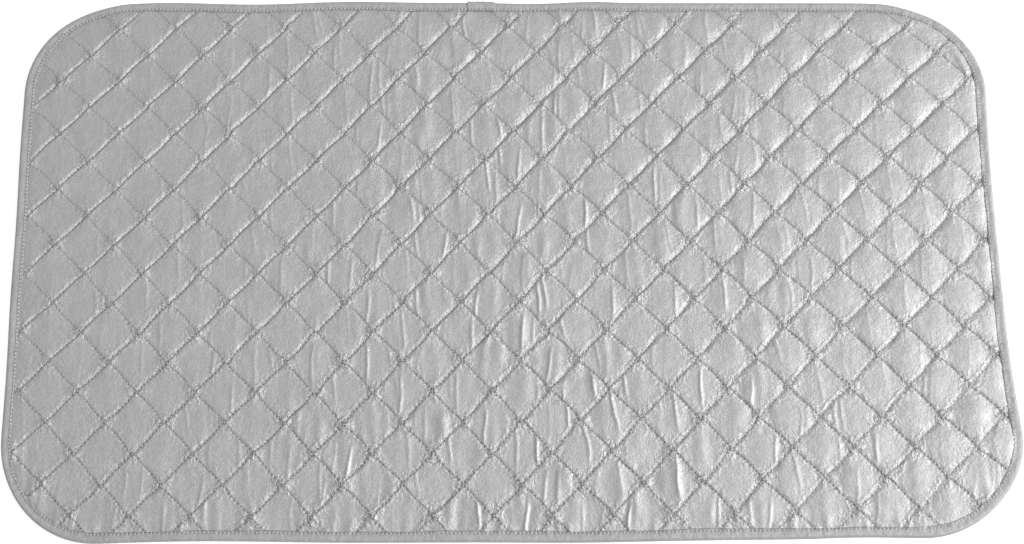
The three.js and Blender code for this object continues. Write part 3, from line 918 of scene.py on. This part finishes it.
# Finishes
class Finish:
    """A material's nodes, with short calls that add and link them."""

    def __init__(self, name, surface):
        self.material = bpy.data.materials.new(name)
        self.material.use_nodes = True
        self.tree = self.material.node_tree
        self.surface = self.tree.nodes["Principled BSDF"]
        for socket, value in surface.items():
            self.surface.inputs[socket].default_value = value
        self.place = self.add("ShaderNodeTexCoord", {}).outputs["Object"]

    def add(self, kind, inputs, **settings):
        """A node with its settings, and with each input linked or set."""
        node = self.tree.nodes.new(kind)
        for name, value in settings.items():
            setattr(node, name, value)
        for socket, value in inputs.items():
            if isinstance(value, bpy.types.NodeSocket):
                self.tree.links.new(value, node.inputs[socket])
            else:
                node.inputs[socket].default_value = value
        return node

    def maths(self, operation, *values):
        """One operation on its values."""
        return self.add("ShaderNodeMath", dict(enumerate(values)), operation=operation).outputs[0]

    def chain(self, operation, values):
        """Values joined in turn by one operation."""
        result = values[0]
        for value in values[1:]:
            result = self.maths(operation, result, value)
        return result

    def plus(self, *values):
        """The sum of the values."""
        return self.chain("ADD", values)

    def minus(self, *values):
        """The first value less the others."""
        return self.chain("SUBTRACT", values)

    def times(self, *values):
        """The product of the values."""
        return self.chain("MULTIPLY", values)

    def without(self, share):
        """What a share leaves of 1."""
        return self.minus(1, share)

    def fading(self, far):
        """1 at no distance, falling towards 0 as the value grows."""
        return self.maths("POWER", math.e, self.times(far, -1))

    def noise(self, size, detail=2.0, stretch=(1, 1, 1)):
        """Noise with spots about as large as size, in metres."""
        scaled = self.add("ShaderNodeMapping", {"Vector": self.place, "Scale": stretch}).outputs[0]
        inputs = {"Vector": scaled, "Scale": 1 / size, "Detail": detail}
        return self.add("ShaderNodeTexNoise", inputs).outputs[0]

    def between(self, factor, low, high):
        """A value that runs from low to high as the factor runs over the middle of its range."""
        inputs = {"Value": factor, "From Min": 0.3, "From Max": 0.7, "To Min": low, "To Max": high}
        return self.add("ShaderNodeMapRange", inputs).outputs[0]

    def weave(self, pitch):
        """Threads that pass over and under each other."""
        across, along, _ = self.add("ShaderNodeSeparateXYZ", {0: self.place}).outputs
        waves = [self.maths("SINE", self.times(axis, 2 * math.pi / pitch)) for axis in (across, along)]
        return self.times(*waves)

    def colour(self, grey, tint=(1, 1, 1)):
        """Sets the colour to a grey with a tint."""
        channels = [self.times(grey, share) for share in tint]
        joined = self.add("ShaderNodeCombineColor", dict(enumerate(channels))).outputs[0]
        self.tree.links.new(joined, self.surface.inputs["Base Color"])

    def roughness(self, value):
        """Sets the roughness to a varying value."""
        self.tree.links.new(value, self.surface.inputs["Roughness"])

    def bump(self, *layers):
        """Bumps laid over each other, each a height field and its depth in metres."""
        normal = None
        for height, depth in layers:
            inputs = {"Height": height, "Distance": depth, "Strength": 1.0}
            if normal is not None:
                inputs["Normal"] = normal
            normal = self.add("ShaderNodeBump", inputs).outputs[0]
        self.tree.links.new(normal, self.surface.inputs["Normal"])

    def attribute(self, name):
        """A value that the piece's points carry."""
        return self.add("ShaderNodeAttribute", {}, attribute_name=name).outputs["Fac"]

    def lattice(self):
        """The distances across the rising and the falling seams, and the creasing."""
        found = self.add("ShaderNodeAttribute", {}, attribute_name="lattice").outputs["Vector"]
        return self.add("ShaderNodeSeparateXYZ", {0: found}).outputs

    def near_seam(self, across, reach):
        """1 on a seam, falling towards 0 over the reach."""
        gap = self.maths("PINGPONG", across, SEAM_PITCH / 2)
        return self.fading(self.maths("DIVIDE", gap, reach))

    def along_stitch(self, along):
        """1 at the middle of each stitch of a seam and -1 where it enters the cloth."""
        return self.maths("COSINE", self.times(along, 2 * math.pi / SEAM_STITCH))

    def welt(self, rising):
        """1 on a line that runs beside each rising seam, where the cloth folds over it."""
        beside = self.maths("FLOORED_MODULO", rising, SEAM_PITCH)
        wanted = self.between(self.noise(12 * MM, 1), WELT_GAP - WELT_SWAY, WELT_GAP + WELT_SWAY)
        off = self.maths("DIVIDE", self.minus(beside, wanted), WELT_WIDTH)
        return self.fading(self.times(off, off))

    def cell_creases(self, rising, falling, layer):
        """One upright crease in each cell, at random places and heights."""
        cells = [self.maths("DIVIDE", across, SEAM_PITCH) for across in (rising, falling)]
        within_rising, within_falling = [self.maths("FRACT", cell) for cell in cells]
        names = {axis: self.maths("FLOOR", cell) for axis, cell in enumerate(cells)}
        name = self.add("ShaderNodeCombineXYZ", {**names, 2: layer}).outputs[0]
        chance = self.add("ShaderNodeTexWhiteNoise", {"Vector": name}, noise_dimensions="3D")
        spread, turn, lift = self.add("ShaderNodeSeparateColor", {0: chance.outputs["Color"]}).outputs
        turn = self.minus(turn, 0.5)
        upward = self.minus(self.plus(within_rising, within_falling), 1)
        middle = self.times(self.minus(spread, 0.5), FINE_CREASE_SPAN)
        lean = self.times(upward, self.times(turn, FINE_CREASE_LEAN))
        sway = self.between(self.noise(22 * MM, 1), -FINE_CREASE_SWAY, FINE_CREASE_SWAY)
        off = self.plus(self.minus(within_falling, within_rising, middle), lean, sway)
        off = self.times(off, SEAM_PITCH / math.sqrt(2) / FINE_CREASE_WIDTH)
        run = self.minus(upward, self.times(turn, FINE_CREASE_SHIFT))
        run = self.times(run, 1 / FINE_CREASE_RUN)
        ridge = self.fading(self.plus(self.times(off, off), self.maths("POWER", run, 4)))
        return self.times(ridge, self.maths("MAXIMUM", self.minus(lift, FINE_CREASE_LEAST), 0))


def face_finish():
    """Silver-coated plain weave: satin, crinkled and puckered beside the stitches, with painted shade along
    the seams.
    """
    finish = Finish("silver_coated_cloth", {"Metallic": 0.92})
    grain = finish.noise(GRAIN_SIZE, 3)
    broad = finish.noise(FACE_PATCHES, 3)
    crinkle = finish.noise(CRINKLE_SIZE, 4)
    patches = finish.between(finish.noise(PUCKER_PATCHES), 0.5, 1.5)
    pucker = finish.times(finish.noise(PUCKER_SPACING, 3), patches)
    rising, falling, creasing = finish.lattice()
    pull = finish.attribute("pull")
    full = finish.attribute("fullness")
    # Painted shade on the seam lines: its strength on the rising and the falling seams, set by the pull and
    # the fullness
    rising_seam_shade = finish.minus(finish.plus(0.34, finish.times(pull, 0.15)), finish.times(full, 0.2))
    falling_seam_shade = finish.plus(0.14, finish.times(pull, 0.40))
    sets = [(rising, falling, 1, rising_seam_shade), (falling, rising, pull, falling_seam_shade)]
    grey = finish.plus(finish.between(broad, *FACE_GREY), finish.between(grain, -0.05, 0.05))
    near = 0
    groove = 0
    crossing = 1
    away = creasing
    for across, along, depth, seam_shade in sets:
        # Painted shade along each seam, broken into dashes at the stitches
        dashes = finish.without(finish.times(finish.along_stitch(along), SEAM_SHADE_DASHES))
        line = finish.times(finish.near_seam(across, SEAM_SHADE_REACH), dashes, seam_shade)
        grey = finish.times(grey, finish.without(line))
        groove = finish.minus(groove, finish.times(finish.near_seam(across, GROOVE_REACH), depth))
        near = finish.plus(near, finish.times(finish.near_seam(across, PUCKER_REACH), depth))
        crossing = finish.times(crossing, finish.near_seam(across, 2 * PUCKER_REACH))
        away = finish.times(away, finish.without(finish.near_seam(across, CLEAR_REACH)))
    unrest = finish.times(finish.plus(creasing, finish.times(full, 0.5), 0.8), 0.5)
    drawn = finish.plus(finish.times(near, unrest), finish.times(crossing, 1.4))
    welt = finish.times(finish.welt(rising), finish.times(pull, finish.between(broad, 0, 1)))
    groove = finish.times(groove, finish.without(finish.times(pull, 0.7)))
    groove = finish.times(groove, finish.without(finish.times(full, 0.6)))
    layers = [finish.cell_creases(rising, falling, layer) for layer in range(FINE_CREASE_LAYERS)]
    finish.colour(grey)
    finish.roughness(finish.between(crinkle, 0.62, 0.70))
    finish.bump((crinkle, CRINKLE_DEPTH), (grain, GRAIN_DEPTH), (finish.times(drawn, pucker), PUCKER_DEPTH),
                (finish.times(away, finish.plus(*layers)), FINE_CREASE_DEPTH), (groove, GROOVE_DEPTH),
                (welt, WELT_DEPTH), (finish.weave(FACE_WEAVE), FACE_WEAVE_DEPTH))
    return finish.material


def backing_finish():
    """Matt plain weave, with painted shade along the seams."""
    finish = Finish("plain_backing_cloth", {"Roughness": 0.85, "Sheen Weight": 0.15})
    broad = finish.noise(30 * MM, 3)
    fine = finish.noise(0.9 * MM)
    grey = finish.plus(finish.between(broad, *BACKING_GREY), finish.between(fine, -0.03, 0.03))
    rising, falling, _ = finish.lattice()
    # Painted shade along each seam, where the quilting's grooves lie
    for across in (rising, falling):
        line = finish.times(finish.near_seam(across, GROOVE_REACH), 0.45)
        grey = finish.times(grey, finish.without(line))
    finish.colour(grey)
    finish.bump((finish.noise(5 * MM, 4), 0.35 * MM), (finish.weave(0.8 * MM), 0.05 * MM))
    return finish.material


def wadding_finish():
    """Needled white fibre."""
    finish = Finish("needled_wadding", {"Roughness": 0.95, "Sheen Weight": 0.3})
    fibre = finish.noise(1.5 * MM, 6, (1, 0.25, 1))
    finish.colour(finish.between(fibre, *WADDING_GREY), (1, 1, 0.98))
    finish.bump((fibre, 0.6 * MM))
    return finish.material


def binding_finish():
    """Folded tape in a close weave, with painted shade in its stitch holes, along its fold and at its lip.
    """
    finish = Finish("woven_binding_tape", {"Metallic": 0.6})
    broad = finish.noise(14 * MM, 3)
    fine = finish.noise(0.8 * MM)
    grey = finish.plus(finish.between(broad, *TAPE_GREY), finish.between(fine, -0.03, 0.03))
    shaded = finish.without(finish.times(finish.attribute("shade"), 0.45))
    finish.colour(finish.times(grey, shaded))
    finish.roughness(finish.between(fine, 0.6, 0.75))
    finish.bump((finish.noise(4.5 * MM, 4), 0.9 * MM), (finish.weave(0.6 * MM), 0.03 * MM))
    return finish.material


def thread_finish(name, grey):
    """Spun sewing thread."""
    finish = Finish(name, {"Roughness": 0.5, "Metallic": 0.5})
    fibre = finish.noise(0.5 * MM, 4)
    finish.colour(finish.between(fibre, *grey))
    finish.bump((fibre, 0.05 * MM))
    return finish.material


# Stage and light
def make_floor():
    """A plain pale floor that shows as white and keeps the mat's shadow."""
    mesh = bpy.data.meshes.new("floor")
    corners = [(x * FLOOR_REACH, y * FLOOR_REACH, 0) for x, y in ((-1, -1), (1, -1), (1, 1), (-1, 1))]
    mesh.from_pydata(corners, [], [(0, 1, 2, 3)])
    floor = bpy.data.objects.new("floor", mesh)
    floor.location.z = FLOOR_Z
    bpy.context.scene.collection.objects.link(floor)
    colours = {"Base Color": (FLOOR_GREY, FLOOR_GREY, FLOOR_GREY, 1), "Emission Color": (1, 1, 1, 1)}
    finish = Finish("pale_floor", {**colours, "Roughness": 0.9})
    light = finish.add("ShaderNodeLightPath", {}).outputs
    seen = finish.maths("MAXIMUM", light["Is Camera Ray"], light["Is Glossy Ray"])
    seen = finish.maths("MAXIMUM", seen, light["Is Transmission Ray"])
    finish.tree.links.new(finish.times(seen, FLOOR_GLOW), finish.surface.inputs["Emission Strength"])
    mesh.materials.append(finish.material)


def make_light():
    """A weak white world and one far, low lamp to the right."""
    world = bpy.data.worlds.new("studio")
    world.use_nodes = True
    back = world.node_tree.nodes["Background"]
    back.inputs["Color"].default_value = (1, 1, 1, 1)
    back.inputs["Strength"].default_value = WORLD_LIGHT
    bpy.context.scene.world = world
    data = bpy.data.lights.new("key", "AREA")
    data.shape = "RECTANGLE"
    data.size = KEY_SIZE
    data.size_y = KEY_SIZE
    data.energy = KEY_POWER
    data.spread = math.radians(KEY_SPREAD)
    lamp = bpy.data.objects.new("key", data)
    lamp.location = KEY_PLACE
    aim = Vector(KEY_TARGET) - Vector(KEY_PLACE)
    lamp.rotation_euler = aim.to_track_quat("-Z", "Y").to_euler()
    bpy.context.scene.collection.objects.link(lamp)


make_camera()
bpy.context.scene.view_settings.view_transform = "Standard"
make_floor()
make_light()
face, face_shape = make_face(face_finish())
backing, backing_shape = make_backing(backing_finish())
wadding = make_wadding(wadding_finish())
binding = make_binding(binding_finish(), face_shape)
make_seam_stitches(thread_finish("quilting_thread", QUILTING_THREAD_GREY), face_shape, backing_shape)
make_binding_stitches(thread_finish("binding_thread", BINDING_THREAD_GREY))

TAPE_CUT = np.linalg.norm(np.diff(tape_line(), axis=0), axis=1).sum()
